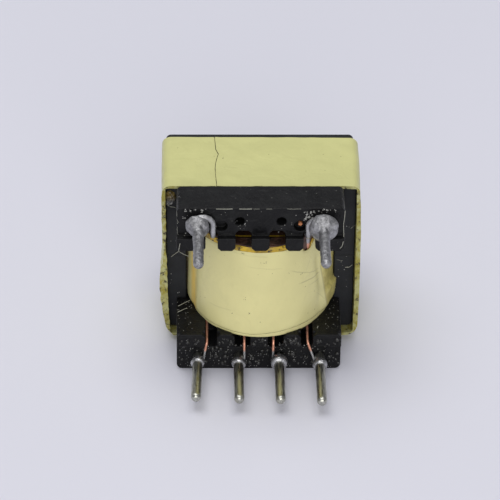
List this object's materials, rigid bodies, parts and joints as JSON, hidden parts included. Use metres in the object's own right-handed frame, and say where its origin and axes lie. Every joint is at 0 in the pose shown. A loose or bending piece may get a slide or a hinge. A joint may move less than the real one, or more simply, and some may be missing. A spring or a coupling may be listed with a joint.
{
  "type": "pcb transformer",
  "caption": "Small board-mount transformer: taped ferrite core in a black bobbin that carries the pins, with a taped coil and soldered wire leads.",
  "frame": {"origin": "middle of the pin pattern, on the plane of the circuit board that the stand-off teeth touch", "axes": "X along the pin rows, +Y away from the circuit board so that the pins reach into -Y, +Z along the winding axis towards the row that lost its inner pins; the part lies on its -Z side as in the picture"},
  "size_m": [0.0139, 0.0192, 0.0134],
  "materials": {
    "ferrite": "matte, sintered",
    "bobbin_plastic": "semi-gloss phenolic moulding",
    "yellow_tape": "satin polyester film",
    "winding_wire": "enamelled copper",
    "tinned_wire": "dull tin",
    "solder": "dull grey solder",
    "tinned_pin": "tinned steel"
  },
  "bodies": {
    "root": {"core_half_upper": "ferrite", "core_half_lower": "ferrite", "core_tape": "yellow_tape", "bobbin": "bobbin_plastic", "primary_winding": "winding_wire", "primary_tape": "yellow_tape", "secondary_winding": "winding_wire", "secondary_tape": "yellow_tape", "auxiliary_winding": "winding_wire", "coil_tape": "yellow_tape", "wire_stub": "winding_wire", "pin_upper_1": "tinned_pin", "lead_upper_1": "tinned_wire", "solder_upper_1": "solder", "pin_upper_4": "tinned_pin", "lead_upper_4": "tinned_wire", "solder_upper_4": "solder", "pin_lower_1": "tinned_pin", "lead_lower_1": "winding_wire", "solder_lower_1": "solder", "pin_lower_2": "tinned_pin", "lead_lower_2": "winding_wire", "solder_lower_2": "solder", "pin_lower_3": "tinned_pin", "lead_lower_3": "winding_wire", "solder_lower_3": "solder", "pin_lower_4": "tinned_pin", "lead_lower_4": "winding_wire", "solder_lower_4": "solder"}
  },
  "joints": []
}
